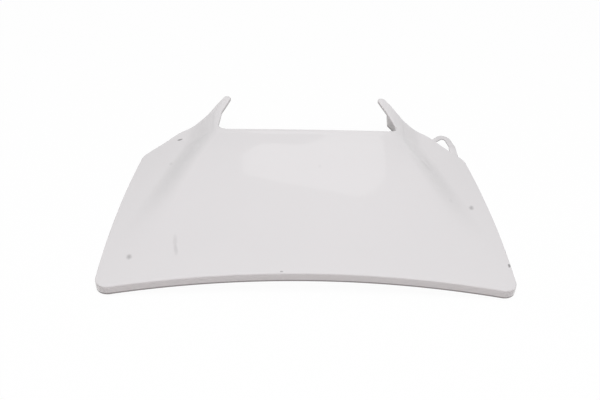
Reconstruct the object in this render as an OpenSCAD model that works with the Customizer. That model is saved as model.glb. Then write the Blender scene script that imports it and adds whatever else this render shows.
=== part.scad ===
// Motorcycle fairing panel, moulded in one piece in gloss white plastic.
// X runs across the panel, Y from its wide front edge back to the two horns, Z up.
// The origin is below the middle of the panel, on the plane that its rim rests on.

/* [Panel] */
// Width across the front corners
front_width = 437; // [400:1:480]
// Width across the corners of the wings
wing_width = 398; // [360:1:430]
// From the front corners back to the corners of the wings
side_length = 234; // [200:1:260]
// From the front corners back to the edge between the horns
middle_length = 251; // [235:1:270]
// How far each side bows out between its corners
side_bow = 4; // [0:0.5:6]
// How far the middle of the front edge lies behind its corners
front_sweep = 9.5; // [2:0.5:16]
// How far the edge between the horns curves forward
back_sweep = 6; // [0:0.5:8]
// Rounding of the front corners, seen from above
front_corner_r = 16; // [12:1:28]
// Rounding of the wing corners, seen from above
wing_corner_r = 22; // [12:1:30]

/* [Section] */
// Wall of the moulding
wall = 3; // [2.2:0.1:3.4]
// Rounding where the skin turns down into the rim
edge_r = 1.5; // [0.6:0.1:2]
// Depth of the rim at the front and the sides
rim_depth = 11.5; // [9:0.5:16]
// Depth of the return on the other edges
return_depth = 4.4; // [4.2:0.2:8]
// Rise of the crown from the sides to the middle
crown_rise = 16; // [8:0.5:22]
// Height of the step from the wings up to the raised middle
step_height = 19; // [10:0.5:26]
// Width of the step, from its foot to its top
step_width = 44; // [36:1:50]
// Middle of the step, out from the centre line where it reaches its full height
step_offset = 139; // [132:1:144]
// How far the step spreads outwards for each millimetre towards the front
step_spread = 0.33; // [0.2:0.01:0.36]
// Where the step starts to rise, behind the front corners
step_start = 55; // [20:1:90]
// Where the step reaches its full height
step_end = 215; // [180:1:235]
// Height of the rolled lip on the edge between the horns and up their inner sides
lip_height = 0.9; // [0:0.1:2]
// Width of the rolled lip
lip_width = 9; // [6:0.5:14]

/* [Horns] */
// From the edge between the horns back to their tips
horn_length = 63; // [50:1:80]
// How far the tips rise above the run of the panel
horn_lift = 8; // [0:0.5:14]
// Clear width between the roots of the horns
root_gap = 214; // [196:1:220]
// Clear width between the tips of the horns
tip_gap = 184; // [166:1:192]
// Width of a horn across its root
horn_width = 13; // [12:0.5:24]
// Outer foot of a horn, behind the edge between the horns
shoulder_back = 41; // [28:0.5:46]
// Rounding of the outer foot of a horn, seen from above
shoulder_r = 22; // [10:1:30]
// How far the inner edge of a horn is hollowed out
horn_hollow = 5; // [0:0.5:12]
// How far the back edge of a wing bulges out
wing_bulge = 11.5; // [0:0.5:13]
// Rounding of that bulge
wing_bend_r = 45; // [20:1:60]
// Width of a tip
tip_width = 9.5; // [9:0.5:14]
// Rounding between a horn and the edge between the horns
root_r = 10; // [6:0.5:14]
// How far the root of the right horn is cut back for its lug
lug_cut = 10.5; // [0:0.5:12]
// Depth of the lug that hangs under the root of the right horn
lug_depth = 19; // [12:0.5:24]

/* [Fixings] */
// From the corner of the right wing to the eye on its edge
eye_from = 10; // [8:0.5:14]
// Width of the eye along the edge of the wing
eye_width = 44; // [40:1:50]
// Reach of the eye beyond the edge of the wing
eye_reach = 21.5; // [19:0.5:26]
// Width of the strap round the eye
eye_strap = 7.5; // [6:0.5:8.5]
// Width of the strap where it meets the wing near its corner
eye_foot = 12; // [9:0.5:15]
// Thickness of the strap
eye_thickness = 2.6; // [2:0.1:3]
// Slope of the eye against the skin beside it, from its foot to its far leg
eye_tilt = -0.5; // [-2:0.5:1]
// How far the eye lies below the skin at its foot
eye_drop = 0.9; // [0.5:0.1:1.5]
// Outside diameter of a screw post
post_d = 10; // [8:0.5:14]
// Length of a screw post below the skin
post_length = 18; // [17:0.5:19]
// Pilot hole in a screw post
pilot_d = 4.2; // [3:0.1:5]
// Depth of the pilot hole
pilot_depth = 14; // [8:0.5:15]
// Thickness of the fins round a screw post
fin_thickness = 2; // [1.5:0.1:2.5]
// Reach of the fins beyond the post
fin_reach = 8; // [5:0.5:9]
// Clear of the centre line to the posts at the back
back_post_x = 70; // [50:1:76]
// From the front corners back to those posts
back_post_y = 205; // [190:1:215]
// Clear of the centre line to the posts at the front
front_post_x = 60; // [40:1:80]
// From the front corners back to those posts
front_post_y = 45; // [36:1:50]

/* [Hidden] */

// Steps of the mesh along the back edge, from the middle to the end of a wing's corner
plain_steps = 12;
root_steps = 4;
neck_steps = 7;
horn_rows = 7;
wing_steps = 16;
inner_steps = plain_steps + root_steps;
half = inner_steps + neck_steps + wing_steps;
back_count = half + 2 * horn_rows;

// Columns and rows of the panel, with the rows closer together towards the back edge
columns = 2 * half;
rows = 21;
row_crowding = 1.4;
corner_steps = 8;
back_first = columns + rows;
back_middle = back_first + back_count;
around = columns + 2 * rows + 2 * back_count;

// Plan of one half, from the front corner at y = 0
front_x = front_width / 2;
wing_x = wing_width / 2;
tip_round = wall + 1;
horn_bend_at = 0.56;
horn_bend_r = 18;
wing_bend_at = 0.35;
front_lead = 30;
side_aim = -1;
bend_shift = [0, 0.25];
root_x = root_gap / 2;
root = [root_x, middle_length];
tip_inner = [tip_gap / 2, middle_length + horn_length];
tip_outer = tip_inner + [tip_width, 1];
shoulder = [root_x + horn_width, middle_length + shoulder_back];
wing_corner = [wing_x, side_length];
horn_bend = mix(root, tip_inner, horn_bend_at) + [horn_hollow, 0];
wing_bend = mix(shoulder, wing_corner, wing_bend_at) + wing_bulge * left_of(unit(wing_corner - shoulder));
side_end = [front_x, side_aim];

function unit(v) = v / norm(v);
function left_of(v) = [-v.y, v.x];
function mix(a, b, t) = a + (b - a) * t;
function clamp(t) = min(max(t, 0), 1);
function ease(t) = let (c = clamp(t)) c * c * (3 - 2 * c);
function turned(v, a) = [v.x * cos(a) - v.y * sin(a), v.x * sin(a) + v.y * cos(a)];
function flipped(p) = [-p.x, p.y];

// Points along the rounding at b, where the path runs from a to b to c
function corner_arc(a, b, c, r, steps) =
    let (
        u = unit(a - b),
        w = unit(c - b),
        angle = acos(u * w) / 2,
        centre = b + unit(u + w) * r / sin(angle),
        arm = b + u * r / tan(angle) - centre,
        turn = (180 - 2 * angle) * sign(cross(b - a, c - b))
    )
    [for (k = [0 : steps]) centre + turned(arm, turn * k / steps)];

// A path through corners given as [point, radius, steps round it, steps on to the next]
function path(corners) =
    let (
        last = len(corners) - 1,
        arcs = [
            for (i = [1 : last - 1])
                corner_arc(corners[i - 1][0], corners[i][0], corners[i + 1][0], corners[i][1], corners[i][2])
        ],
        stops = concat([[corners[0][0]]], arcs, [[corners[last][0]]])
    )
    [
        for (i = [0 : last - 1])
            let (from = stops[i][len(stops[i]) - 1], to = stops[i + 1][0], steps = corners[i][3])
            each concat(
                [for (k = [0 : len(stops[i]) - 2]) stops[i][k]],
                [for (k = [0 : steps - 1]) mix(from, to, k / steps)]
            )
    ];

// Back edge of one half, from the middle to the end of the wing's corner. The cut widens the
// root of the horn and pushes the bend above it out and down.
function back_half(cut) =
    let (
        corners = [
            [[0, middle_length], 0, 0, plain_steps],
            [root + [cut, 0], root_r, root_steps, 2],
            [horn_bend + cut * bend_shift, horn_bend_r, 3, 2],
            [tip_inner, tip_round, 3, 1],
            [tip_outer, tip_round, 3, 4],
            [shoulder, shoulder_r, 3, 4],
            [wing_bend, wing_bend_r, 3, 4],
            [wing_corner, wing_corner_r, 5, 1],
            [side_end, 0, 0, 0]
        ],
        points = path(corners)
    )
    [
        for (i = [0 : back_count])
            let (p = points[i])
            i > plain_steps ? p : p - [0, back_sweep * (1 - pow(p.x / root_x, 2))]
    ];

// Front edge of one half, from the middle to the end of the corner
function front_edge_y(x) = front_sweep * (1 - pow(x / front_x, 2));
function front_half() =
    let (
        lead = [front_x - front_lead, front_edge_y(front_x - front_lead)],
        arc = corner_arc(lead, [front_x, front_edge_y(front_x)], wing_corner, front_corner_r, corner_steps),
        straight_steps = half - corner_steps
    )
    concat(
        [for (k = [0 : straight_steps - 1]) let (x = arc[0].x * k / straight_steps) [x, front_edge_y(x)]],
        arc
    );

front_right = front_half();
back_right = back_half(lug_cut);
back_left = back_half(0);

// The sides, which bow out between the front corners and the wings
function row_at(j) = 1 - pow(1 - j / rows, row_crowding);
function bow_at(t) = 4 * side_bow * t * (1 - t);
function side_point(j) =
    let (t = row_at(j))
    mix(front_right[half], back_right[back_count], t) + [bow_at(t), 0];

// The whole outline, anticlockwise from the end of the left front corner
outline = concat(
    [for (i = [half : -1 : 1]) flipped(front_right[i])],
    [for (i = [0 : half - 1]) front_right[i]],
    [for (j = [0 : rows - 1]) side_point(j)],
    [for (i = [back_count : -1 : 1]) back_right[i]],
    [for (i = [0 : back_count - 1]) flipped(back_left[i])],
    [for (j = [rows : -1 : 1]) flipped(side_point(j))]
);
function outline_at(k) = outline[(k + around) % around];
inward = [
    for (k = [0 : around - 1])
        left_of(unit(unit(outline_at(k + 1) - outline_at(k)) + unit(outline_at(k) - outline_at(k - 1))))
];
function inset(distance) = [for (k = [0 : around - 1]) outline[k] + inward[k] * distance];

lowest_y = min([for (p = outline) p.y]);
highest_y = max([for (p = outline) p.y]);
middle_y = (lowest_y + highest_y) / 2;

// How far the horns lean in above their bend
horn_lean = (horn_bend.x - tip_inner.x) / (tip_inner.y - horn_bend.y);

// How far a point lies inside the edge between the horns, which runs round the roots and up
// the inner sides of the horns
function from_edge(x, y) =
    let (
        root_out = root_x + (x > 0 ? lug_cut : 0),
        out = abs(x) + horn_lean * max(y - horn_bend.y, 0),
        curve = back_sweep * (1 - pow(min(abs(x) / root_x, 1), 2)),
        beyond = [out - root_out + root_r, middle_length + root_r - curve - y]
    )
    norm([max(beyond.x, 0), max(beyond.y, 0)]) + min(max(beyond.x, beyond.y), 0) - root_r;

// Half the width of the panel at y
function half_width(y) =
    let (a = front_right[half], b = back_right[back_count], t = (y - a.y) / (b.y - a.y), c = clamp(t))
    mix(a.x, b.x, t) + bow_at(c);

// Height of the outer skin
function top_z(x, y) =
    let (
        out = abs(x),
        crown = crown_rise * (1 - pow(min(out / half_width(y), 1), 2)),
        step_x = step_offset + step_spread * (step_end - min(y, middle_length)),
        along = ease((y - step_start) / (step_end - step_start)),
        across = ease((step_x - out) / step_width + 0.5),
        lip = ease(2 * (1 - from_edge(x, y) / lip_width)),
        back = max(y - middle_length, 0) / horn_length
    )
    rim_depth + crown + step_height * along * across + lip_height * lip + horn_lift * back * back;

// Height of the inner face, one wall below the skin, by the skin's slope over a short span
span = 1;
function under_z(x, y) =
    let (
        slope_x = (top_z(x + span / 2, y) - top_z(x - span / 2, y)) / span,
        slope_y = (top_z(x, y + span / 2) - top_z(x, y - span / 2)) / span
    )
    top_z(x, y) - wall * norm([1, slope_x, slope_y]);

// How the rim shortens behind the corner of a wing, where the lug deepens it again, and how far
// its foot stays below the inner face at least
return_run = 50;
lug_step = 5;
foot_drop = 0.4;
lug_front = middle_length + 4;
lug_back = horn_bend.y + lug_cut * bend_shift.y - 1;

// Depth of the turned-down edge at point k of the outline
function depth_at(k) =
    k <= back_first ? rim_depth :
    k >= around - rows ? rim_depth :
    let (
        p = outline[k],
        on_lug = p.x > 0 && k > back_middle - inner_steps - horn_rows && p.y > lug_front && p.y < lug_back,
        from_wing = (wing_x - abs(p.x)) / return_run
    )
    on_lug ? mix(return_depth + lug_step, lug_depth, (p.y - lug_front) / (lug_back - lug_front))
           : mix(rim_depth, return_depth, ease(from_wing));

// Points of a closed line along its back edge, counted out from the middle on one side
function back_at(line, side, s) = line[back_middle - side * s];

// Back row of the panel, which runs straight across the neck of each horn
function back_row(line, i) =
    let (
        side = sign(i - half),
        n = abs(i - half),
        outer = inner_steps + neck_steps,
        neck = (n - inner_steps) / neck_steps
    )
    n <= inner_steps ? back_at(line, side, n) :
    n >= outer ? back_at(line, side, n + 2 * horn_rows) :
    mix(back_at(line, side, inner_steps), back_at(line, side, outer + 2 * horn_rows), neck);

// Grid of points that fills the panel inside a closed line, column by column
function panel_grid(line) = [
    for (i = [0 : columns])
        for (j = [0 : rows])
            let (t = row_at(j), bow = [(i / half - 1) * bow_at(t), 0])
            i == columns && j < rows ? line[columns + j] :
            i == 0 && j > 0 && j < rows ? line[around - j] :
            mix(line[i], back_row(line, i), t) + bow
];
function grid_index(i, j) = i * (rows + 1) + j;

// Grid of points that fills a horn, between its inner edge, its outer edge, its neck and its tip
function horn_grid(line, side) =
    let (
        neck_end = inner_steps + neck_steps + 2 * horn_rows,
        a = back_at(line, side, inner_steps),
        b = back_at(line, side, neck_end),
        c = back_at(line, side, neck_end - horn_rows),
        d = back_at(line, side, inner_steps + horn_rows)
    )
    [
        for (m = [0 : neck_steps])
            for (q = [1 : horn_rows])
                let (
                    u = m / neck_steps,
                    v = q / horn_rows,
                    inner = back_at(line, side, inner_steps + q),
                    outer = back_at(line, side, neck_end - q),
                    tip = back_at(line, side, inner_steps + horn_rows + m)
                )
                mix(inner, outer, u) + mix(mix(a, b, u), tip, v) - mix(mix(a, b, u), mix(d, c, u), v)
    ];
panel_size = (columns + 1) * (rows + 1);
horn_size = (neck_steps + 1) * horn_rows;
function horn_index(side, m, q) =
    q == 0 ? grid_index(half + side * (inner_steps + m), rows)
           : panel_size + (side > 0 ? 0 : horn_size) + m * horn_rows + q - 1;

function filled(line) = concat(panel_grid(line), horn_grid(line, 1), horn_grid(line, -1));

// Points of the grids that lie on the closed line, in its own order
rim = concat(
    [for (i = [0 : columns - 1]) grid_index(i, 0)],
    [for (j = [0 : rows - 1]) grid_index(columns, j)],
    [for (i = [0 : wing_steps - 1]) grid_index(columns - i, rows)],
    [for (q = [0 : horn_rows - 1]) horn_index(1, neck_steps, q)],
    [for (m = [neck_steps : -1 : 1]) horn_index(1, m, horn_rows)],
    [for (q = [horn_rows : -1 : 1]) horn_index(1, 0, q)],
    [for (i = [inner_steps : -1 : 1 - inner_steps]) grid_index(half + i, rows)],
    [for (q = [0 : horn_rows - 1]) horn_index(-1, 0, q)],
    [for (m = [0 : neck_steps - 1]) horn_index(-1, m, horn_rows)],
    [for (q = [horn_rows : -1 : 1]) horn_index(-1, neck_steps, q)],
    [for (i = [wing_steps : -1 : 1]) grid_index(i, rows)],
    [for (j = [rows : -1 : 1]) grid_index(0, j)]
);

// Two triangles on four points, given anticlockwise from above
function pair(a, b, c, d) = [[a, d, c], [a, c, b]];
function horn_faces(side) = [
    for (m = [0 : neck_steps - 1])
        for (q = [0 : horn_rows - 1])
            let (
                a = horn_index(side, m, q),
                b = horn_index(side, m + 1, q),
                c = horn_index(side, m + 1, q + 1),
                d = horn_index(side, m, q + 1)
            )
            each side > 0 ? pair(a, b, c, d) : pair(b, a, d, c)
];

// Triangles of a band between two closed lines of points
function band(a, b) = [
    for (k = [0 : around - 1])
        let (n = (k + 1) % around)
        each [[a[k], a[n], b[n]], [a[k], b[n], b[k]]]
];

module shell() {
    edge_line = inset(edge_r);
    wall_line = inset(wall);
    top_grid = [for (p = filled(edge_line)) [p.x, p.y, top_z(p.x, p.y)]];
    under_grid = [for (p = filled(wall_line)) [p.x, p.y, under_z(p.x, p.y)]];
    edge_z = [for (p = edge_line) top_z(p.x, p.y)];
    low_z = [
        for (k = [0 : around - 1])
            let (outer = outline[k], inner = wall_line[k])
            min(top_z(outer.x, outer.y) - depth_at(k), under_z(inner.x, inner.y) - foot_drop)
    ];
    turn = 45;
    fold = [
        for (k = [0 : around - 1])
            let (p = outline[k] + inward[k] * edge_r * (1 - sin(turn)))
            [p.x, p.y, edge_z[k] - edge_r * (1 - cos(turn))]
    ];
    side = [for (k = [0 : around - 1]) [outline[k].x, outline[k].y, edge_z[k] - edge_r]];
    outer_foot = [for (k = [0 : around - 1]) [outline[k].x, outline[k].y, low_z[k]]];
    inner_foot = [for (k = [0 : around - 1]) [wall_line[k].x, wall_line[k].y, low_z[k]]];

    size = len(top_grid);
    under_rim = [for (k = rim) k + size];
    fold_ring = [for (k = [0 : around - 1]) 2 * size + k];
    side_ring = [for (k = fold_ring) k + around];
    outer_ring = [for (k = side_ring) k + around];
    inner_ring = [for (k = outer_ring) k + around];
    panel_faces = [
        for (i = [0 : columns - 1])
            for (j = [0 : rows - 1])
                let (
                    a = grid_index(i, j),
                    b = grid_index(i + 1, j),
                    c = grid_index(i + 1, j + 1),
                    d = grid_index(i, j + 1)
                )
                each i < half ? pair(b, c, d, a) : pair(a, b, c, d)
    ];
    skin = concat(panel_faces, horn_faces(1), horn_faces(-1));
    lining = [for (t = skin) [t[0] + size, t[2] + size, t[1] + size]];
    polyhedron(
        points = concat(top_grid, under_grid, fold, side, outer_foot, inner_foot),
        faces = concat(
            skin,
            lining,
            band(rim, fold_ring),
            band(fold_ring, side_ring),
            band(side_ring, outer_ring),
            band(outer_ring, inner_ring),
            band(inner_ring, under_rim)
        )
    );
}

// Strap that stands out from the edge of the right wing and closes the eye against it. Its path
// has a steep far leg, a round top and a long leg that widens into its foot by the corner, and
// both legs start inside the edge that they meet.
eye_shoulder = 0.85;
eye_top_at = 1 / 6;
eye_leg = [1 / 2, 0.6];
eye_top_r = eye_strap / 2 + 1.5;
eye_leg_r = 2 * eye_strap;
eye_widening = 3;
module eye() {
    w = eye_strap / 2;
    sink = wall - 1;
    reach = eye_reach - w;
    far = w - eye_from - eye_width;
    near = -eye_from - eye_foot / 2;
    run = unit(wing_corner - wing_bend);
    edge = [
        for (p = back_right)
            if (p.x > shoulder.x)
                [(p - wing_corner) * run, (p - wing_corner) * left_of(run)]
    ];
    legs = [for (at = [near, far]) [at, lookup(at, edge)]];
    heights = [
        for (leg = legs)
            let (p = wing_corner + leg.x * run + leg.y * left_of(run))
            top_z(p.x, p.y)
    ];
    slope = atan2(heights[1] - heights[0], near - far) + eye_tilt;
    end = legs[0] - [0, sink];
    corners = [
        [legs[1] - [0, sink], 0, 0, 1],
        [[far, eye_shoulder * reach], eye_top_r, 6, 1],
        [[far + eye_top_at * eye_width, reach], eye_top_r, 6, 1],
        [[far + eye_leg.x * eye_width, eye_leg.y * reach], eye_leg_r, 4, 1],
        [end, 0, 0, 0]
    ];
    line = concat(path(corners), [end]);
    last = len(line) - 1;
    across = [
        for (k = [0 : last])
            let (wide = mix(w, eye_foot / 2, pow(k / last, eye_widening)))
            wide * left_of(unit(line[min(k + 1, last)] - line[max(k - 1, 0)]))
    ];
    translate([wing_corner.x, wing_corner.y, heights[0] - eye_drop])
        rotate([0, 0, atan2(run.y, run.x)])
            translate([near, 0, 0])
                rotate([0, slope, 0])
                    translate([-near, 0, -eye_thickness])
                        linear_extrude(eye_thickness)
                            polygon(concat(
                                [for (k = [0 : last]) line[k] + across[k]],
                                [for (k = [last : -1 : 0]) line[k] - across[k]]
                            ));
}

// Screw post that hangs from the skin at x and y, with four fins and a blind pilot hole
fin_foot = post_length / 3;
fin_end = post_length - 1;
module post(x, y) {
    top = post_length + wall / 2;
    wide = post_d / 2 + fin_reach;
    narrow = post_d / 4;
    half_fins = [[wide, top], [wide, fin_end], [narrow, fin_foot]];
    fins = concat(half_fins, [for (k = [2 : -1 : 0]) flipped(half_fins[k])]);
    translate([x, y, top_z(x, y) - wall - post_length])
        difference() {
            union() {
                cylinder(d = post_d, h = top, $fn = 36);
                for (a = [0, 90])
                    rotate([90, 0, a])
                        translate([0, 0, -fin_thickness / 2])
                            linear_extrude(fin_thickness)
                                polygon(fins);
            }
            translate([0, 0, -1])
                cylinder(d = pilot_d, h = pilot_depth + 1, $fn = 36);
        }
}

module fairing() {
    color("whitesmoke")
        translate([0, -middle_y, 0])
            union() {
                shell();
                eye();
                for (side = [-1, 1]) {
                    post(side * back_post_x, back_post_y);
                    post(side * front_post_x, front_post_y);
                }
            }
}

fairing();
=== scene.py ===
import math
import bpy
import bmesh
import numpy as np
from mathutils import Matrix, Vector


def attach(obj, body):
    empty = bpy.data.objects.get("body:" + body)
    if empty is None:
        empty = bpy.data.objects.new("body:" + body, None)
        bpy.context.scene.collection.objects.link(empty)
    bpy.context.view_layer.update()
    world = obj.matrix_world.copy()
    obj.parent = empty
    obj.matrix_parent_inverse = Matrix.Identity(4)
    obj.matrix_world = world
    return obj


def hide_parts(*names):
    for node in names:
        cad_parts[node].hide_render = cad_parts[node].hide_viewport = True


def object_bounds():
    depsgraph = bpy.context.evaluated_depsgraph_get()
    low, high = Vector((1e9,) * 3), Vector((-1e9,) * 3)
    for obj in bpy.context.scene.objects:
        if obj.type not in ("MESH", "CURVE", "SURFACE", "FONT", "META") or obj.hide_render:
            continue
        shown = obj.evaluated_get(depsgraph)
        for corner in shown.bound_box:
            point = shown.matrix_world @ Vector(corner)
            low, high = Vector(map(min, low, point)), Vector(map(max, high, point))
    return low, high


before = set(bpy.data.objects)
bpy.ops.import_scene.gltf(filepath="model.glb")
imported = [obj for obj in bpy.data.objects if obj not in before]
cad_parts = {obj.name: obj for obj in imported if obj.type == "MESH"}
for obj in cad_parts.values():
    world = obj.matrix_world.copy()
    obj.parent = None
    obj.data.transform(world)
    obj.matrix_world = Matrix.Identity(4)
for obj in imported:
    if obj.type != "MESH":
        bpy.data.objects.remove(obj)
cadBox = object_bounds()
mm = 0.001
print("frame loaded, the CAD box is", [tuple(round(v, 4) for v in corner) for corner in cadBox])

# The camera looks down on the panel from its wide front edge
cameraView = {
    "target": (-6.2, -18.5, 20.0),  # mm
    "distance": 948.75,
    "elevation": 37.94,  # degrees
    "turn": 1.45,
    "roll": 1.62,
    "lens": 50.0,  # mm
    "sensor": 36.0,
}


def makeCamera(view):
    elevation, turn, roll = (math.radians(view[key]) for key in ("elevation", "turn", "roll"))
    ahead = Vector((math.sin(turn) * math.cos(elevation),
                    math.cos(turn) * math.cos(elevation),
                    -math.sin(elevation)))
    level = Vector((math.cos(turn), -math.sin(turn), 0))
    upright = level.cross(ahead)
    right = math.cos(roll) * level + math.sin(roll) * upright
    up = math.cos(roll) * upright - math.sin(roll) * level
    lens = bpy.data.cameras.new("photoCamera")
    lens.lens = view["lens"]
    lens.sensor_width = view["sensor"]
    camera = bpy.data.objects.new("photoCamera", lens)
    place = (Vector(view["target"]) - view["distance"] * ahead) * mm
    turned = Matrix((right, up, -ahead)).transposed().to_4x4()
    camera.matrix_world = Matrix.Translation(place) @ turned
    bpy.context.scene.collection.objects.link(camera)
    bpy.context.scene.camera = camera


makeCamera(cameraView)
print("camera placed")

# The moulded panel, sizes in mm, in plan with the front corners at y = 0
panelForm = {
    "frontWidth": 437, "wingWidth": 398, "sideLength": 234, "middleLength": 251,
    "sideBow": 4, "frontSweep": 9.5, "backSweep": 6, "frontCorner": 16, "wingCorner": 22,
    "wall": 3, "edge": 1.5, "foot": 1.3, "rimDepth": 11.5, "returnDepth": 4.4, "footDrop": 0.4,
    "crownRise": 16, "stepHeight": 19, "stepWidth": 44, "stepOffset": 139,
    "stepSpread": 0.33, "stepStart": 55, "stepEnd": 215, "lipHeight": 0.9, "lipWidth": 9,
    "wingBulge": 11.5, "wingBend": 45, "wingBendAt": 0.35, "returnRun": 50, "frontLead": 30,
    "sharpFrom": 38,  # degrees
}

# The two horns at the back, and the lug under the root of the right one
hornForm = {
    "length": 63, "lift": 8, "rootGap": 214, "tipGap": 184, "width": 13, "shoulderBack": 41,
    "shoulder": 22, "hollow": 5, "tipWidth": 9.5, "tipSlant": 1, "tipSpare": 1, "root": 10,
    "bend": 18, "bendAt": 0.56, "lugCut": 10.5, "cutShift": (0, 0.25), "lugDepth": 19,
    "lugStep": 5, "lugFrom": 4, "lugTo": 1,
}

# Steps of the mesh. Plain, root, neck, horn and wing follow each other along the back edge, from
# its middle to the end of a wing's corner.
fine = 3
meshSteps = {
    "plain": 12 * fine, "root": 4 * fine, "neck": 7 * fine, "horn": 7 * fine,
    "wing": 16 * fine, "rows": 21 * fine, "corner": 8 * fine, "fold": 5, "footRound": 4,
}
innerSteps = meshSteps["plain"] + meshSteps["root"]
half = innerSteps + meshSteps["neck"] + meshSteps["wing"]
backCount = half + 2 * meshSteps["horn"]
columns = 2 * half
rows = meshSteps["rows"]
around = columns + 2 * rows + 2 * backCount
backMiddle = columns + rows + backCount
rowCrowding = 1.4  # rows lie closer together towards the back


def unit(v):
    return v / np.linalg.norm(v)


def leftOf(v):
    return np.array([-v[1], v[0]])


def mix(a, b, t):
    return a + (b - a) * t


def ease(t):
    held = np.clip(t, 0, 1)
    return held * held * (3 - 2 * held)


def cornerArc(a, b, c, radius, steps):
    u, w = unit(a - b), unit(c - b)
    angle = math.acos(float(u @ w)) / 2
    centre = b + unit(u + w) * radius / math.sin(angle)
    arm = b + u * radius / math.tan(angle) - centre
    side = np.sign((b - a)[0] * (c - b)[1] - (b - a)[1] * (c - b)[0])
    turn = (math.pi - 2 * angle) * side
    points = []
    for k in range(steps + 1):
        sine, cosine = math.sin(turn * k / steps), math.cos(turn * k / steps)
        points.append(centre + np.array([arm[0] * cosine - arm[1] * sine,
                                         arm[0] * sine + arm[1] * cosine]))
    return points


def runPath(corners):
    # Corners are point, radius, steps round it and steps on to the next one
    places = [np.array(corner[0], float) for corner in corners]
    stops = [[places[0]]]
    for i in range(1, len(corners) - 1):
        stops.append(cornerArc(places[i - 1], places[i], places[i + 1], corners[i][1], corners[i][2]))
    stops.append([places[-1]])
    points = []
    for i in range(len(corners) - 1):
        points += stops[i][:-1]
        steps = corners[i][3]
        points += [mix(stops[i][-1], stops[i + 1][0], k / steps) for k in range(steps)]
    return points


frontX = panelForm["frontWidth"] / 2
wingX = panelForm["wingWidth"] / 2
rootX = hornForm["rootGap"] / 2
backY = panelForm["middleLength"]
tipRound = panelForm["wall"] + hornForm["tipSpare"]
rootPoint = np.array([rootX, backY])
tipInner = np.array([hornForm["tipGap"] / 2, backY + hornForm["length"]])
tipOuter = tipInner + [hornForm["tipWidth"], hornForm["tipSlant"]]
shoulder = np.array([rootX + hornForm["width"], backY + hornForm["shoulderBack"]])
wingCorner = np.array([wingX, panelForm["sideLength"]])
sideFoot = (frontX, -1)  # the corner of a wing turns towards this point
hornBend = mix(rootPoint, tipInner, hornForm["bendAt"]) + [hornForm["hollow"], 0]
wingBend = (mix(shoulder, wingCorner, panelForm["wingBendAt"])
            + panelForm["wingBulge"] * leftOf(unit(wingCorner - shoulder)))
hornLean = (hornBend[0] - tipInner[0]) / (tipInner[1] - hornBend[1])
lugFront = backY + hornForm["lugFrom"]
lugBack = hornBend[1] + hornForm["lugCut"] * hornForm["cutShift"][1] - hornForm["lugTo"]


def frontEdgeY(x):
    return panelForm["frontSweep"] * (1 - (x / frontX) ** 2)


def backHalf(cut):
    # Back edge of one half, from its middle to the side; the cut makes room for the lug
    bend = hornBend + cut * np.array(hornForm["cutShift"])
    points = runPath([
        [(0, backY), 0, 0, 12 * fine],
        [rootPoint + [cut, 0], hornForm["root"], 4 * fine, 2 * fine],
        [bend, hornForm["bend"], 3 * fine, 2 * fine],
        [tipInner, tipRound, 3 * fine, fine],
        [tipOuter, tipRound, 3 * fine, 4 * fine],
        [shoulder, hornForm["shoulder"], 3 * fine, 4 * fine],
        [wingBend, panelForm["wingBend"], 3 * fine, 4 * fine],
        [wingCorner, panelForm["wingCorner"], 5 * fine, 1],
        [sideFoot, 0, 0, 0],
    ])[:backCount + 1]
    for i in range(meshSteps["plain"] + 1):
        points[i] = points[i] - [0, panelForm["backSweep"] * (1 - (points[i][0] / rootX) ** 2)]
    return np.array(points)


def frontHalf():
    # Front edge of one half, from its middle round the front corner
    leadX = frontX - panelForm["frontLead"]
    lead = np.array([leadX, frontEdgeY(leadX)])
    corner = np.array([frontX, frontEdgeY(frontX)])
    arc = cornerArc(lead, corner, wingCorner, panelForm["frontCorner"], meshSteps["corner"])
    straight = half - meshSteps["corner"]
    xs = [arc[0][0] * k / straight for k in range(straight)]
    return np.array([[x, frontEdgeY(x)] for x in xs] + arc)


frontRight, backRight, backLeft = frontHalf(), backHalf(hornForm["lugCut"]), backHalf(0)
mirror = np.array([-1, 1])


def rowAt(j):
    return 1 - (1 - j / rows) ** rowCrowding


def bowAt(t):
    # The sides bow out, most in their middle
    return 4 * panelForm["sideBow"] * t * (1 - t)


def sidePoint(j):
    t = rowAt(j)
    return mix(frontRight[half], backRight[backCount], t) + [bowAt(t), 0]


# The whole outline runs anticlockwise from the end of the left front corner
outline = np.array(
    [frontRight[i] * mirror for i in range(half, 0, -1)]
    + [frontRight[i] for i in range(half)]
    + [sidePoint(j) for j in range(rows)]
    + [backRight[i] for i in range(backCount, 0, -1)]
    + [backLeft[i] * mirror for i in range(backCount)]
    + [sidePoint(j) * mirror for j in range(rows, 0, -1)])
stretches = np.roll(outline, -1, axis=0) - outline
stretches /= np.linalg.norm(stretches, axis=1)[:, None]
heading = stretches + np.roll(stretches, 1, axis=0)
heading /= np.linalg.norm(heading, axis=1)[:, None]
inward = np.column_stack([-heading[:, 1], heading[:, 0]])
middleY = (outline[:, 1].min() + outline[:, 1].max()) / 2


def insetLine(distance):
    return outline + inward * distance


def halfWidth(y):
    a, b = frontRight[half], backRight[backCount]
    t = (y - a[1]) / (b[1] - a[1])
    return mix(a[0], b[0], t) + bowAt(np.clip(t, 0, 1))


def fromEdge(x, y):
    # How far inside the edge between the horns, which runs round the roots and up the horns
    out = np.abs(x) + hornLean * np.maximum(y - hornBend[1], 0)
    curve = panelForm["backSweep"] * (1 - np.minimum(np.abs(x) / rootX, 1) ** 2)
    beyondX = out - rootX - np.where(x > 0, hornForm["lugCut"], 0) + hornForm["root"]
    beyondY = backY + hornForm["root"] - curve - y
    outside = np.hypot(np.maximum(beyondX, 0), np.maximum(beyondY, 0))
    return outside + np.minimum(np.maximum(beyondX, beyondY), 0) - hornForm["root"]


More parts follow.
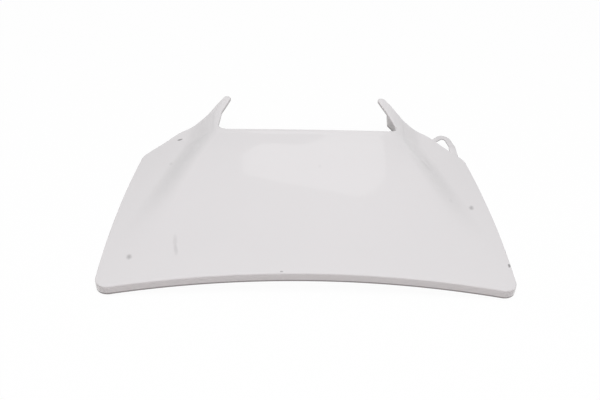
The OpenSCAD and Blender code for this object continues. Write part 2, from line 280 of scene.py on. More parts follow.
def topZ(x, y):
    # Height of the glossy skin: rim, crown, raised middle, rolled lip and lifted horns
    form = panelForm
    out = np.abs(x)
    crown = form["crownRise"] * (1 - np.minimum(out / halfWidth(y), 1) ** 2)
    stepX = form["stepOffset"] + form["stepSpread"] * (form["stepEnd"] - np.minimum(y, backY))
    along = ease((y - form["stepStart"]) / (form["stepEnd"] - form["stepStart"]))
    across = ease((stepX - out) / form["stepWidth"] + 0.5)
    lip = ease(2 * (1 - fromEdge(x, y) / form["lipWidth"]))  # at its full over its outer half
    back = np.maximum(y - backY, 0) / hornForm["length"]
    return (form["rimDepth"] + crown + form["stepHeight"] * along * across
            + form["lipHeight"] * lip + hornForm["lift"] * back * back)


def underZ(x, y):
    # The underside lies the wall below the skin, square to its slope over the mm round the point
    slopeX = topZ(x + 0.5, y) - topZ(x - 0.5, y)
    slopeY = topZ(x, y + 0.5) - topZ(x, y - 0.5)
    return topZ(x, y) - panelForm["wall"] * np.sqrt(1 + slopeX ** 2 + slopeY ** 2)


def edgeDepths():
    # How deep the rim turns down: less behind the wings' corners, and deepest on the lug
    depths = np.full(around, float(panelForm["rimDepth"]))
    for k in range(columns + rows + 1, around - rows):
        x, y = outline[k]
        depths[k] = mix(panelForm["rimDepth"], panelForm["returnDepth"],
                        ease((wingX - abs(x)) / panelForm["returnRun"]))
        onRoot = x > 0 and k > backMiddle - innerSteps - meshSteps["horn"]
        if onRoot and lugFront < y < lugBack:
            down = (y - lugFront) / (lugBack - lugFront)
            depths[k] = mix(panelForm["returnDepth"] + hornForm["lugStep"], hornForm["lugDepth"], down)
    return depths


def backAt(line, side, s):
    return line[backMiddle - side * s]


def backRow(line, i):
    # Where column i of the grid ends at the back: under a horn, on a straight line across its neck
    side, n = np.sign(i - half), abs(i - half)
    outer = innerSteps + meshSteps["neck"]
    if n <= innerSteps:
        return backAt(line, side, n)
    if n >= outer:
        return backAt(line, side, n + 2 * meshSteps["horn"])
    share = (n - innerSteps) / meshSteps["neck"]
    return mix(backAt(line, side, innerSteps), backAt(line, side, outer + 2 * meshSteps["horn"]), share)


def panelGrid(line):
    # The panel without its horns, filled from the front edge to the back row
    points = []
    for i in range(columns + 1):
        back = backRow(line, i)
        for j in range(rows + 1):
            t = rowAt(j)
            if i == columns and j < rows:
                points.append(line[columns + j])
            elif i == 0 and 0 < j < rows:
                points.append(line[around - j])
            else:
                points.append(mix(line[i % around], back, t) + [(i / half - 1) * bowAt(t), 0])
    return points


def hornGrid(line, side):
    # One horn, filled between its root, its two long edges and its tip
    neck, count = meshSteps["neck"], meshSteps["horn"]
    neckEnd = innerSteps + neck + 2 * count
    a, b = backAt(line, side, innerSteps), backAt(line, side, neckEnd)
    c, d = backAt(line, side, neckEnd - count), backAt(line, side, innerSteps + count)
    points = []
    for m in range(neck + 1):
        for q in range(1, count + 1):
            u, v = m / neck, q / count
            inner, outer = backAt(line, side, innerSteps + q), backAt(line, side, neckEnd - q)
            tip = backAt(line, side, innerSteps + count + m)
            low = mix(a, b, u)
            points.append(mix(inner, outer, u) + mix(low, tip, v) - mix(low, mix(d, c, u), v))
    return points


def filled(line):
    return np.array(panelGrid(line) + hornGrid(line, 1) + hornGrid(line, -1))


panelSize = (columns + 1) * (rows + 1)
hornSize = (meshSteps["neck"] + 1) * meshSteps["horn"]


def gridIndex(i, j):
    return i * (rows + 1) + j


def hornIndex(side, m, q):
    if q == 0:
        return gridIndex(half + side * (innerSteps + m), rows)
    return panelSize + (0 if side > 0 else hornSize) + m * meshSteps["horn"] + q - 1


def rimOrder():
    # The grid's points on the outline, in the outline's own order
    neck, count, wing = meshSteps["neck"], meshSteps["horn"], meshSteps["wing"]
    return ([gridIndex(i, 0) for i in range(columns)]
            + [gridIndex(columns, j) for j in range(rows)]
            + [gridIndex(columns - i, rows) for i in range(wing)]
            + [hornIndex(1, neck, q) for q in range(count)]
            + [hornIndex(1, m, count) for m in range(neck, 0, -1)]
            + [hornIndex(1, 0, q) for q in range(count, 0, -1)]
            + [gridIndex(half + i, rows) for i in range(innerSteps, -innerSteps, -1)]
            + [hornIndex(-1, 0, q) for q in range(count)]
            + [hornIndex(-1, m, count) for m in range(neck)]
            + [hornIndex(-1, neck, q) for q in range(count, 0, -1)]
            + [gridIndex(i, rows) for i in range(wing, 0, -1)]
            + [gridIndex(0, j) for j in range(rows, 0, -1)])


def skinFaces():
    faces = []
    for i in range(columns):
        for j in range(rows):
            faces.append((gridIndex(i, j), gridIndex(i + 1, j),
                          gridIndex(i + 1, j + 1), gridIndex(i, j + 1)))
    for side in (1, -1):
        for m in range(meshSteps["neck"]):
            for q in range(meshSteps["horn"]):
                face = (hornIndex(side, m, q), hornIndex(side, m + 1, q),
                        hornIndex(side, m + 1, q + 1), hornIndex(side, m, q + 1))
                faces.append(face if side > 0 else face[::-1])
    return faces


def toFrame(points):
    # From the plan in mm to the frame in metres. The finer curves would stand some hundredths of
    # a mm outside the box of the CAD's facets, so they are held inside it.
    return np.clip((np.asarray(points, float) - [0, middleY, 0]) * mm, *cadBox)


def newPiece(name, points, faces, materials, inFrame=False):
    mesh = bpy.data.meshes.new(name)
    places = points if inFrame else toFrame(points)
    mesh.from_pydata([tuple(p) for p in places], [], faces)
    mesh.update()
    piece = bpy.data.objects.new(name, mesh)
    bpy.context.scene.collection.objects.link(piece)
    for material in materials:
        mesh.materials.append(material)
    return piece


def smooth(piece, angle):
    work = bmesh.new()
    work.from_mesh(piece.data)
    bmesh.ops.recalc_face_normals(work, faces=work.faces)
    work.to_mesh(piece.data)
    work.free()
    piece.data.shade_smooth()
    piece.data.set_sharp_from_angle(angle=math.radians(angle))


def quarterTurn(k, count):
    angle = math.pi / 2 * k / count
    return math.sin(angle), math.cos(angle)


def rimRings(edgeZ, lowZ):
    # Inset and height of the rings between the skin and the underside, down the rim and back up
    edge, wall, foot = panelForm["edge"], panelForm["wall"], panelForm["foot"]
    rings = []
    for k in range(1, meshSteps["fold"] + 1):  # rounded fold from the skin down into the rim
        sine, cosine = quarterTurn(k, meshSteps["fold"])
        rings.append((edge * (1 - sine), edgeZ - edge * (1 - cosine)))
    for k in range(meshSteps["footRound"] + 1):  # foot of the rim, rounded on both sides
        sine, cosine = quarterTurn(k, meshSteps["footRound"])
        rings.append((foot * (1 - cosine), lowZ + foot * (1 - sine)))
    for k in range(meshSteps["footRound"] + 1):
        sine, cosine = quarterTurn(k, meshSteps["footRound"])
        rings.append((wall - foot * (1 - sine), lowZ + foot * (1 - cosine)))
    return rings


def markFoot(piece, starts):
    # How near the foot of the rim: 0 on the skin, a little over the fold, 1 from the foot on
    # It places the painted shade down the rim and the painted shadow along its foot
    fold = meshSteps["fold"]
    nearFoot = np.zeros(len(piece.data.vertices), np.float32)
    for k in range(fold):
        nearFoot[starts[k]:] = skinFinish["foldShare"] * (k + 1) / fold
    nearFoot[starts[fold]:] = 1
    piece.data.attributes.new("nearFoot", "FLOAT", "POINT").data.foreach_set("value", nearFoot)


def makeShell(skinMaterial, backMaterial):
    topLine, wallLine = insetLine(panelForm["edge"]), insetLine(panelForm["wall"])
    topPoints, underPoints = filled(topLine), filled(wallLine)
    top = np.column_stack([topPoints, topZ(topPoints[:, 0], topPoints[:, 1])])
    under = np.column_stack([underPoints, underZ(underPoints[:, 0], underPoints[:, 1])])
    lowZ = np.minimum(topZ(outline[:, 0], outline[:, 1]) - edgeDepths(),
                      underZ(wallLine[:, 0], wallLine[:, 1]) - panelForm["footDrop"])
    rings = rimRings(topZ(topLine[:, 0], topLine[:, 1]), lowZ)
    points = [top, under] + [np.column_stack([insetLine(inset), z]) for inset, z in rings]
    skin, order, size = skinFaces(), rimOrder(), len(top)
    faces = skin + [tuple(size + v for v in reversed(face)) for face in skin]
    kinds = [0] * len(skin) + [1] * len(skin)  # 0 is the glossy skin, 1 the satin back
    starts = [2 * size + n * around for n in range(len(rings))]
    lines = [order] + [[start + k for k in range(around)] for start in starts]
    lines.append([size + v for v in order])
    glossyLines = meshSteps["fold"] + meshSteps["footRound"] + 1
    for n in range(len(lines) - 1):
        a, b = lines[n], lines[n + 1]
        for k in range(around):
            after = (k + 1) % around
            faces.append((a[k], b[k], b[after], a[after]))
            kinds.append(0 if n < glossyLines else 1)
    piece = newPiece("fairingShell", np.vstack(points), faces, (skinMaterial, backMaterial))
    piece.data.polygons.foreach_set("material_index", kinds)
    markFoot(piece, starts)
    smooth(piece, panelForm["sharpFrom"])
    return piece


# The strap that closes the eye on the edge of the right wing
eyeForm = {
    "fromCorner": 10, "width": 44, "reach": 21.5, "strap": 6.6, "foot": 10, "thickness": 2.6,
    "bend": 6.8, "tilt": -0.5, "drop": 0.9, "sunk": 1, "edge": 1.2, "roundSteps": 4, "sharpFrom": 50,
    "turns": ((0, 0.85), (1 / 6, 1), (0.5, 0.6)),  # shares of the width and the reach
}


def makeEye(material):
    form = eyeForm
    w = form["strap"] / 2
    sink = panelForm["wall"] - form["sunk"]
    reach = form["reach"] - w
    far = w - form["fromCorner"] - form["width"]
    near = -form["fromCorner"] - form["foot"] / 2
    run = unit(wingCorner - wingBend)
    wingEdge = backRight[backRight[:, 0] > shoulder[0]] - wingCorner
    order = np.argsort(wingEdge @ run)
    legs, heights = [], []
    for at in (near, far):  # each leg starts inside the edge, a little below the skin beside it
        off = float(np.interp(at, (wingEdge @ run)[order], (wingEdge @ leftOf(run))[order]))
        legs.append(np.array([at, off - sink]))
        beside = wingCorner + at * run + off * leftOf(run)
        heights.append(float(topZ(*beside)))
    slope = math.atan2(heights[1] - heights[0], near - far) + math.radians(form["tilt"])
    bend, crest, fall = ((far + along * form["width"], out * reach) for along, out in form["turns"])
    line = np.array(runPath([
        [legs[1], 0, 0, 6],
        [bend, form["bend"], 14, 2],
        [crest, form["bend"], 14, 4],
        [fall, 2 * form["strap"], 10, 8],
        [legs[0], 0, 0, 0],
    ]) + [legs[0]])
    last = len(line) - 1
    section = []  # rounded oblong: share of the half width, mm in from it, and height
    for corner, (sideways, base) in enumerate(((1, 0), (1, 1), (-1, 1), (-1, 0))):
        for k in range(form["roundSteps"] + 1):
            angle = math.pi / 2 * (k / form["roundSteps"] + corner - 1)
            z = form["thickness"] - form["edge"] if base else form["edge"]
            section.append((sideways, -sideways * form["edge"] + form["edge"] * math.cos(angle),
                            z + form["edge"] * math.sin(angle)))
    points = []
    for k in range(last + 1):
        across = leftOf(unit(line[min(k + 1, last)] - line[max(k - 1, 0)]))
        wide = mix(w, form["foot"] / 2, (k / last) ** 3)  # widens to its foot by the corner
        for sideways, inset, z in section:
            flat = line[k] + across * (sideways * wide + inset)
            points.append((flat[0], flat[1], z - form["thickness"]))
    count = len(section)
    faces = []
    for k in range(last):
        for n in range(count):
            m = (n + 1) % count
            faces.append((k * count + n, (k + 1) * count + n, (k + 1) * count + m, k * count + m))
    faces.append(tuple(range(count)))
    faces.append(tuple(last * count + n for n in reversed(range(count))))
    place = (Matrix.Translation((wingCorner[0], wingCorner[1], heights[0] - form["drop"]))
             @ Matrix.Rotation(math.atan2(run[1], run[0]), 4, "Z")
             @ Matrix.Translation((near, 0, 0)) @ Matrix.Rotation(slope, 4, "Y")
             @ Matrix.Translation((-near, 0, 0)))
    piece = newPiece("wingEye", [tuple(place @ Vector(p)) for p in points], faces, (material,))
    smooth(piece, form["sharpFrom"])
    return piece


# The screw posts under the skin, with their fins and blind pilot holes
postForm = {
    "diameter": 10, "length": 18, "pilot": 4.2, "pilotDepth": 14, "finThickness": 2, "finReach": 8,
    "finRoot": 1, "finShelf": 1, "finFrom": 1 / 3, "finTaper": (0.9, 0.8),
    "places": ((-70, 205), (70, 205), (-60, 45), (60, 45)), "round": 0.4, "sides": 40, "sharpFrom": 40,
}


def addTurned(points, faces, place, profile, sides):
    # A profile of radius and height, turned about its upright axis, with both ends closed
    start = len(points)
    for r, z in profile:
        for n in range(sides):
            angle = 2 * math.pi * n / sides
            points.append((place[0] + r * math.cos(angle), place[1] + r * math.sin(angle), place[2] + z))
    for k in range(len(profile) - 1):
        for n in range(sides):
            m = (n + 1) % sides
            a, b = start + k * sides, start + (k + 1) * sides
            faces.append((a + n, a + m, b + m, b + n))
    faces.append(tuple(start + n for n in reversed(range(sides))))
    end = start + (len(profile) - 1) * sides
    faces.append(tuple(end + n for n in range(sides)))


def makePosts(material):
    form = postForm
    r, bore, soft = form["diameter"] / 2, form["pilot"] / 2, form["round"]
    top = form["length"] + panelForm["wall"] / 2
    wide, root, thin = r + form["finReach"], r - form["finRoot"], form["finThickness"] / 2
    low, shelf = form["length"] * form["finFrom"], form["length"] - form["finShelf"]
    lowTaper, shelfTaper = form["finTaper"]
    points, faces = [], []
    for x, y in form["places"]:
        place = (x, y, float(topZ(x, y)) - panelForm["wall"] - form["length"])
        addTurned(points, faces, place, [
            (bore, form["pilotDepth"]), (bore, soft), (bore + soft, 0), (r - soft, 0), (r, soft), (r, top),
        ], form["sides"])
        for quarter in range(4):  # a fin starts inside the post and thins towards its free edge
            along = np.array([math.cos(quarter * math.pi / 2), math.sin(quarter * math.pi / 2)])
            across = leftOf(along)
            start = len(points)
            for out, z, taper in ((root, low, lowTaper), (wide, shelf, shelfTaper),
                                  (wide, top, 1), (root, top, 1)):
                for side in (-1, 1):
                    flat = along * out + across * side * thin * taper
                    points.append((place[0] + flat[0], place[1] + flat[1], place[2] + z))
            for k in range(4):
                m = (k + 1) % 4
                faces.append((start + 2 * k, start + 2 * m, start + 2 * m + 1, start + 2 * k + 1))
            faces.append(tuple(start + 2 * k for k in range(4)))
            faces.append(tuple(start + 2 * k + 1 for k in reversed(range(4))))
    piece = newPiece("screwPosts", points, faces, (material,))
    smooth(piece, form["sharpFrom"])
    return piece


# Wear on the skin and painted shade on its edges, in mm and degrees. The last two values are how dark and
# how soft each is.
markHeight = 99  # so that a mark on the skin isn't cut off by its height
wearAndShadeMarks = {
    # x, y, half length, half width, turn, dark, soft: on the skin, at its height there
    "onSkin": [
        (-186.0, -113.4, 6.2, 4.2, 104, 0.36, 0.9),  # dirt spots
        (190.0, -22.2, 6.2, 4.0, 74, 0.37, 0.9),
        (-160.9, 51.9, 5.8, 3.2, 99, 0.11, 0.9),
        (166.0, -19.0, 6.0, 3.4, 76, 0.06, 0.9),
        (16.1, 15.9, 5.0, 3.0, 87, 0.04, 0.9),
        (-139.8, -93.0, 14.0, 3.4, -84, 0.10, 0.8),  # rub mark, darker at its near end
        (-137.4, -107.5, 12.0, 3.2, -80, 0.13, 0.8),
        (-155.6, 103.9, 4.2, 2.0, 20, 0.60, 0.5),  # chips by the edges
        (-26.0, -145.9, 2.4, 1.4, 0, 0.40, 0.6),
        (214.5, -116.4, 3.8, 1.8, 80, 0.60, 0.5),
    ],
    # x, y, z, half length, half width, half height, turn, dark, soft: painted shade on the edges
    "paintedShadeOnEdges": [
        (-205.0, -156.0, 4.0, 75.0, 40.0, 7.5, 0, 0.04, 0.9),  # painted shade on the rim by the left corner
        (112.0, 118.0, 30.0, 7.0, 18.0, 14.0, 0, 0.28, 0.6),  # painted shade on the lug, in the shadow of the right horn
        (-104.0, 103.0, 40.0, 3.4, 13.0, 8.0, 0, 0.30, 0.6),  # painted shade below the root of the left horn
        (180.0, 114.0, 14.0, 27.0, 12.0, 20.0, -36, 0.07, 0.5),  # painted shade on the eye
    ],
}

skinFinish = {
    "colour": (0.745, 0.723, 0.733), "roughness": 0.36, "specular": 0.1, "ior": 1.46,
    "coat": 1.0, "coatRoughness": 0.025, "mottle": 0.02, "specks": 0.06,
    "ragged": 0.0016, "raggedScale": 500,
    "waveScale": 24.0, "waveDepth": 0.00010, "grainScale": 420.0, "grainDepth": 0.000012,
    # Painted shade down the rim, then darker painted shadow along its foot: nearness to the foot from, to,
    # and the colour
    "foldShare": 0.15, "rimPaintedShade": ((0.03, 0.15, (0.84, 0.812, 0.806)), (0.84, 0.92, (0.4, 0.38, 0.38))),
}
backFinish = {
    "colour": (0.66, 0.645, 0.635), "roughness": 0.48, "ior": 1.46, "mottle": 0.05, "specks": 0.12,
    "waveScale": 30.0, "waveDepth": 0.00005, "grainScale": 900.0, "grainDepth": 0.00006,
}
roughSpread = (0.8, 1.25)  # shares of the roughness between which it changes over the surface
mottleForm = {"cloudScale": 14, "cloudDetail": 3, "dustScale": 55, "speckSize": 0.03}


def maths(nodes, links, operation, first, second):
    # A Math node, whose two inputs are numbers or the sockets of other nodes
    node = nodes.new("ShaderNodeMath")
    node.operation = operation
    for socket, value in zip(node.inputs, (first, second)):
        if isinstance(value, (int, float)):
            socket.default_value = value
        else:
            links.new(value, socket)
    return node.outputs[0]


def addSockets(group, ins, outs):
    for name, kind, value in ins:
        socket = group.interface.new_socket(name=name, in_out="INPUT", socket_type=kind)
        if value is not None:
            socket.default_value = value
    for name, kind in outs:
        group.interface.new_socket(name=name, in_out="OUTPUT", socket_type=kind)


def mottleGroup():
    # Slow change of tone over the moulding, with fine dust specks, as one factor near 1
    group = bpy.data.node_groups.new("plasticMottle", "ShaderNodeTree")
    addSockets(group,
               [("Vector", "NodeSocketVector", None), ("Amount", "NodeSocketFloat", 0.03),
                ("Specks", "NodeSocketFloat", 0.05)],
               [("Tone", "NodeSocketFloat"), ("Cloud", "NodeSocketFloat")])
    nodes, links = group.nodes, group.links
    start, end = nodes.new("NodeGroupInput"), nodes.new("NodeGroupOutput")
    cloud = nodes.new("ShaderNodeTexNoise")
    cloud.inputs["Scale"].default_value = mottleForm["cloudScale"]
    cloud.inputs["Detail"].default_value = mottleForm["cloudDetail"]
    links.new(start.outputs["Vector"], cloud.inputs["Vector"])
    centred = maths(nodes, links, "SUBTRACT", cloud.outputs["Fac"], 0.5)
    clouded = maths(nodes, links, "MULTIPLY", centred, start.outputs["Amount"])
    dust = nodes.new("ShaderNodeTexVoronoi")
    dust.inputs["Scale"].default_value = mottleForm["dustScale"]
    links.new(start.outputs["Vector"], dust.inputs["Vector"])
    near = nodes.new("ShaderNodeMapRange")
    near.inputs["From Min"].default_value = mottleForm["speckSize"]
    near.inputs["From Max"].default_value = 0
    links.new(dust.outputs["Distance"], near.inputs["Value"])
    speck = maths(nodes, links, "MULTIPLY", near.outputs[0], start.outputs["Specks"])
    tone = maths(nodes, links, "ADD", clouded, 1)
    links.new(maths(nodes, links, "SUBTRACT", tone, speck), end.inputs["Tone"])
    links.new(cloud.outputs["Fac"], end.inputs["Cloud"])
    return group


def reliefGroup():
    # Normal of a surface with slow waves and a fine grain on them, depths in metres
    group = bpy.data.node_groups.new("mouldedRelief", "ShaderNodeTree")
    addSockets(group,
               [("Vector", "NodeSocketVector", None), ("Wave Scale", "NodeSocketFloat", 24),
                ("Wave Depth", "NodeSocketFloat", 0.0001), ("Grain Scale", "NodeSocketFloat", 400),
                ("Grain Depth", "NodeSocketFloat", 0.00001)],
               [("Normal", "NodeSocketVector")])
    nodes, links = group.nodes, group.links
    start, end = nodes.new("NodeGroupInput"), nodes.new("NodeGroupOutput")
    normal = None
    for kind in ("Wave", "Grain"):
        noise, bump = nodes.new("ShaderNodeTexNoise"), nodes.new("ShaderNodeBump")
        noise.inputs["Detail"].default_value = 2
        links.new(start.outputs["Vector"], noise.inputs["Vector"])
        links.new(start.outputs[kind + " Scale"], noise.inputs["Scale"])
        links.new(start.outputs[kind + " Depth"], bump.inputs["Distance"])
        links.new(noise.outputs["Fac"], bump.inputs["Height"])
        if normal is not None:
            links.new(normal, bump.inputs["Normal"])
        normal = bump.outputs["Normal"]
    links.new(normal, end.inputs["Normal"])
    return group


def addMark(nodes, links, vector, place, halves, turn, dark, soft, before):
    # One soft dirt spot, rub or patch of painted shade: a stretched distance from its middle, which
    # darkens the tone
    shift = skinFinish["ragged"] / 2  # the ragged edge moves every spot by this much
    x, y, z = place
    stretch = nodes.new("ShaderNodeMapping")
    stretch.vector_type = "TEXTURE"
    stretch.inputs["Location"].default_value = (x * mm + shift, y * mm + shift, z * mm)
    stretch.inputs["Rotation"].default_value = (0, 0, math.radians(turn))
    stretch.inputs["Scale"].default_value = [size * mm for size in halves]
    links.new(vector, stretch.inputs["Vector"])
    length = nodes.new("ShaderNodeVectorMath")
    length.operation = "LENGTH"
    links.new(stretch.outputs[0], length.inputs[0])
    spot = nodes.new("ShaderNodeMapRange")
    spot.interpolation_type = "SMOOTHSTEP"
    spot.inputs["From Min"].default_value = 1
    spot.inputs["From Max"].default_value = 1 - soft
    spot.inputs["To Max"].default_value = dark
    links.new(length.outputs["Value"], spot.inputs["Value"])
    return maths(nodes, links, "SUBTRACT", before, spot.outputs[0])


def startMaterial(name, finish, group):
    material = bpy.data.materials.new(name)
    material.use_nodes = True
    nodes, links = material.node_tree.nodes, material.node_tree.links
    shader = nodes["Principled BSDF"]
    shader.inputs["IOR"].default_value = finish["ior"]
    where = nodes.new("ShaderNodeTexCoord")
    mottle = nodes.new("ShaderNodeGroup")
    mottle.node_tree = group
    mottle.inputs["Amount"].default_value = finish["mottle"]
    mottle.inputs["Specks"].default_value = finish["specks"]
    links.new(where.outputs["Object"], mottle.inputs["Vector"])
    rough = nodes.new("ShaderNodeMapRange")
    rough.inputs["To Min"].default_value = finish["roughness"] * roughSpread[0]
    rough.inputs["To Max"].default_value = finish["roughness"] * roughSpread[1]
    links.new(mottle.outputs["Cloud"], rough.inputs["Value"])
    links.new(rough.outputs[0], shader.inputs["Roughness"])
    return material, nodes, links, shader, where, mottle


def tintBase(nodes, links, shader, tone, colour):
    tint = nodes.new("ShaderNodeMix")
    tint.data_type = "RGBA"
    tint.blend_type = "MULTIPLY"
    tint.inputs["Factor"].default_value = 1
    tint.inputs["A"].default_value = (*colour, 1)
    links.new(tone, tint.inputs["B"])
    links.new(tint.outputs["Result"], shader.inputs["Base Color"])


def addRelief(nodes, links, shader, vector, finish, group):
    relief = nodes.new("ShaderNodeGroup")
    relief.node_tree = group
    for key, name in (("waveScale", "Wave Scale"), ("waveDepth", "Wave Depth"),
                      ("grainScale", "Grain Scale"), ("grainDepth", "Grain Depth")):
        relief.inputs[name].default_value = finish[key]
    links.new(vector, relief.inputs["Vector"])
    links.new(relief.outputs["Normal"], shader.inputs["Normal"])


def raggedPlace(nodes, links, where):
    # The place on the piece, shaken a little so that marks get a ragged edge
    wobble = nodes.new("ShaderNodeTexNoise")
    wobble.inputs["Scale"].default_value = skinFinish["raggedScale"]
    links.new(where.outputs["Object"], wobble.inputs["Vector"])
    ragged = nodes.new("ShaderNodeVectorMath")
    ragged.operation = "MULTIPLY_ADD"
    ragged.inputs[1].default_value = (skinFinish["ragged"],) * 3
    links.new(wobble.outputs["Color"], ragged.inputs[0])
    links.new(where.outputs["Object"], ragged.inputs[2])
    return ragged.outputs[0]


# Painted shade down the rim's face, then darker painted shadow along its foot, from how near the foot each
# place is
def addRimPaintedShade(nodes, links, tone):
    nearFoot = nodes.new("ShaderNodeAttribute")
    nearFoot.attribute_name = "nearFoot"
    for start, end, colour in skinFinish["rimPaintedShade"]:
        share, shadeMix = nodes.new("ShaderNodeMapRange"), nodes.new("ShaderNodeMix")
        share.inputs["From Min"].default_value = start
        share.inputs["From Max"].default_value = end
        shadeMix.data_type, shadeMix.blend_type = "RGBA", "MULTIPLY"
        shadeMix.inputs["B"].default_value = (*colour, 1)
        links.new(nearFoot.outputs["Fac"], share.inputs["Value"])
        links.new(share.outputs[0], shadeMix.inputs["Factor"])
        links.new(tone, shadeMix.inputs["A"])
        tone = shadeMix.outputs["Result"]
    return tone


def glossSkin(mottling, relief):
    finish = skinFinish
    material, nodes, links, shader, where, mottle = startMaterial("glossSkin", finish, mottling)
    ragged = raggedPlace(nodes, links, where)
    tone = mottle.outputs["Tone"]
    for x, y, long, wide, turn, dark, soft in wearAndShadeMarks["onSkin"]:
        place = (x, y, float(topZ(x, y + middleY)))
        tone = addMark(nodes, links, ragged, place, (long, wide, markHeight), turn, dark, soft, tone)
    # painted shade on the rim by the left corner, the lug, under the left horn's root and on the eye
    for x, y, z, long, wide, high, turn, dark, soft in wearAndShadeMarks["paintedShadeOnEdges"]:
        tone = addMark(nodes, links, ragged, (x, y, z), (long, wide, high), turn, dark, soft, tone)
    # painted shade down the rim and painted shadow along its foot
    tone = addRimPaintedShade(nodes, links, tone)
    tintBase(nodes, links, shader, tone, finish["colour"])
    addRelief(nodes, links, shader, where.outputs["Object"], finish, relief)
    shader.inputs["Specular IOR Level"].default_value = finish["specular"]
    shader.inputs["Coat Weight"].default_value = finish["coat"]
    shader.inputs["Coat Roughness"].default_value = finish["coatRoughness"]
    return material


def satinBack(mottling, relief):
    finish = backFinish
    material, nodes, links, shader, where, mottle = startMaterial("satinBack", finish, mottling)
    tintBase(nodes, links, shader, mottle.outputs["Tone"], finish["colour"])
    addRelief(nodes, links, shader, where.outputs["Object"], finish, relief)
    return material


mottleNodes, reliefNodes = mottleGroup(), reliefGroup()
skinMaterial, backMaterial = glossSkin(mottleNodes, reliefNodes), satinBack(mottleNodes, reliefNodes)
print("materials made")

shell = makeShell(skinMaterial, backMaterial)
eye = makeEye(skinMaterial)
posts = makePosts(backMaterial)
for piece in (shell, eye, posts):
    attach(piece, "root")
    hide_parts("fairing")
print("panel made,", sum(len(piece.data.polygons) for piece in (shell, eye, posts)), "faces")

# The studio: a white floor, an even sky and a broad lamp overhead, sizes in metres
studio = {
    "floorSize": 6.0, "floorWhite": 0.95, "floorGlow": 0.96, "floorGap": 0.0002,
    "sky": 0.45, "skyTone": 0.8, "cardSteps": 8,
    "lampSize": 1.0, "lampPower": 20.9, "lampPlace": (0.0, -0.5, 1.7), "lampTarget": (0, 0, 0),
}


def whiteRays(nodes, links):
    # 1 for the rays that see the background white: from the camera, off gloss or through glass
    paths = nodes.new("ShaderNodeLightPath")
    seen = maths(nodes, links, "MAXIMUM", paths.outputs["Is Camera Ray"], paths.outputs["Is Glossy Ray"])
    return maths(nodes, links, "MAXIMUM", seen, paths.outputs["Is Transmission Ray"])


def mixShaders(nodes, links, share, first, second):
    both = nodes.new("ShaderNodeMixShader")
    links.new(share, both.inputs["Fac"])
    links.new(first.outputs[0], both.inputs[1])
    links.new(second.outputs[0], both.inputs[2])
    return both.outputs[0]


def emptyMaterial(name):
    material = bpy.data.materials.new(name)
    material.use_nodes = True
    nodes, links = material.node_tree.nodes, material.node_tree.links
    nodes.clear()
    return material, nodes, links


def makeFloor():
    size = studio["floorSize"] / 2
    corners = [(x * size, y * size, -studio["floorGap"]) for x, y in ((-1, -1), (1, -1), (1, 1), (-1, 1))]
    material, nodes, links = emptyMaterial("paleFloor")
    matt, glow = nodes.new("ShaderNodeBsdfDiffuse"), nodes.new("ShaderNodeEmission")
    matt.inputs["Color"].default_value = (studio["floorWhite"],) * 3 + (1,)
    share = maths(nodes, links, "MULTIPLY", whiteRays(nodes, links), studio["floorGlow"])
    out = nodes.new("ShaderNodeOutputMaterial")
    links.new(mixShaders(nodes, links, share, matt, glow), out.inputs["Surface"])
    floor = newPiece("floor", corners, [(0, 1, 2, 3)], (material,), inFrame=True)


def makeSky():
    world = bpy.data.worlds.new("studioSky")
    bpy.context.scene.world = world
    world.use_nodes = True
    nodes, links = world.node_tree.nodes, world.node_tree.links
    nodes.clear()
    soft, white = nodes.new("ShaderNodeBackground"), nodes.new("ShaderNodeBackground")
    soft.inputs["Color"].default_value = (studio["skyTone"],) * 3 + (1,)
    soft.inputs["Strength"].default_value = studio["sky"]
    white.inputs["Color"].default_value = (1, 1, 1, 1)
    out = nodes.new("ShaderNodeOutputWorld")
    links.new(mixShaders(nodes, links, whiteRays(nodes, links), soft, white), out.inputs["Surface"])


def makeLamp():
    lamp = bpy.data.lights.new("overheadLamp", "AREA")
    lamp.size = studio["lampSize"]
    lamp.energy = studio["lampPower"]
    place = Vector(studio["lampPlace"])
    holder = bpy.data.objects.new("overheadLamp", lamp)
    holder.location = place
    holder.rotation_euler = (Vector(studio["lampTarget"]) - place).to_track_quat("-Z", "Y").to_euler()
    holder.visible_glossy = False
    bpy.context.scene.collection.objects.link(holder)


def upright(foot, turn, wide, high):
    # Corners of a card that stands on the middle of its foot, in metres
    about = Matrix.Rotation(math.radians(turn), 3, "Z")
    return [Vector(foot) + about @ Vector((x, 0, z))
            for x, z in ((-wide / 2, 0), (wide / 2, 0), (wide / 2, high), (-wide / 2, high))]


def levelCard(height, corners):
    # Corners of a level card, from mm
    return [Vector((x * mm, y * mm, height * mm)) for x, y in corners]


def rounded(corners):
    # An outline from corners of x, y and radius, with an arc round each
    places = [np.array(corner[:2], float) for corner in corners]
    points = []
    for k, corner in enumerate(corners):
        after = places[(k + 1) % len(corners)]
        points += cornerArc(places[k - 1], places[k], after, corner[2], studio["cardSteps"])
    return points


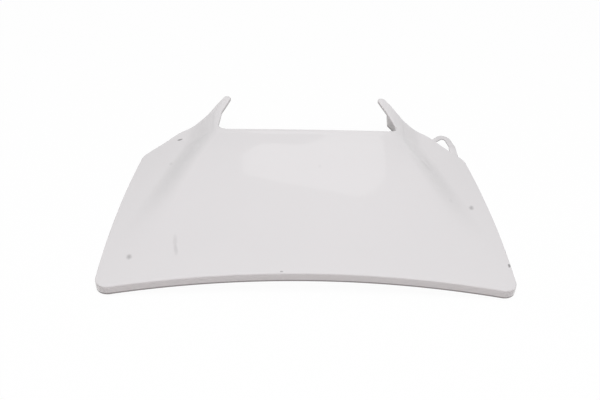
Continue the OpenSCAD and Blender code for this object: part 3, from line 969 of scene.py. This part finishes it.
# Cards that only the gloss of the skin mirrors: grey ones behind the panel and a bright one
# overhead. Each fade runs from the glow to the sky's white along an axis of the card's box.
# A flag stands upright, its apron lies on the floor before it.
studioCards = {
    "leftFlag": {
        "corners": upright((-0.29, 0.41, 0.001), 35, 0.9, 0.40), "glow": 0.75, "fades": (("Z", 0, 1),),
    },
    "leftApron": {
        "corners": levelCard(0.8, ((-120, 130), (-220, 60), (-800, 100), (-100, 850))),
        "glow": 0.75, "fades": (),
    },
    "rightFlag": {
        "corners": upright((0.474, 0.281, 0.001), -35, 0.45, 0.36),
        "glow": 0.77, "fades": (("Z", 0, 1), ("X", 0.25, 0)),
    },
    "rightApron": {
        "corners": levelCard(0.8, ((120, 130), (100, 850), (800, 100), (220, 60))),
        "glow": 0.79, "fades": (),
    },
    "topCard": {
        "corners": levelCard(120, rounded((
            (-84, 61, 12), (-18, 39, 200), (99, 20, 43), (115, 74, 60), (125, 203, 14),
            (60, 203, 75), (-8, 154, 8), (-61, 173, 14), (-87, 116, 20)))),
        "glow": 1.48, "fades": (),
    },
}


def fadedGlow(nodes, links, card):
    # The brightest of the card's fades at each place
    where, split = nodes.new("ShaderNodeTexCoord"), nodes.new("ShaderNodeSeparateXYZ")
    links.new(where.outputs["Generated"], split.inputs[0])
    strength = None
    for axis, start, end in card["fades"]:
        fade = nodes.new("ShaderNodeMapRange")
        fade.inputs["From Min"].default_value = start
        fade.inputs["From Max"].default_value = end
        fade.inputs["To Min"].default_value = card["glow"]
        links.new(split.outputs[axis], fade.inputs["Value"])
        faded = fade.outputs[0]
        strength = faded if strength is None else maths(nodes, links, "MAXIMUM", strength, faded)
    return strength


def makeCard(name, card):
    material, nodes, links = emptyMaterial(name)
    glow, out = nodes.new("ShaderNodeEmission"), nodes.new("ShaderNodeOutputMaterial")
    glow.inputs["Strength"].default_value = card["glow"]
    if card["fades"]:
        links.new(fadedGlow(nodes, links, card), glow.inputs["Strength"])
    links.new(glow.outputs[0], out.inputs["Surface"])
    corners = [tuple(corner) for corner in card["corners"]]
    plane = newPiece(name, corners, [tuple(range(len(corners)))], (material,), inFrame=True)
    plane.visible_camera = plane.visible_diffuse = False
    plane.visible_transmission = plane.visible_shadow = False


makeFloor()
makeSky()
for name, card in studioCards.items():
    makeCard(name, card)
makeLamp()
bpy.context.scene.view_settings.view_transform = "Standard"
print("studio lit")
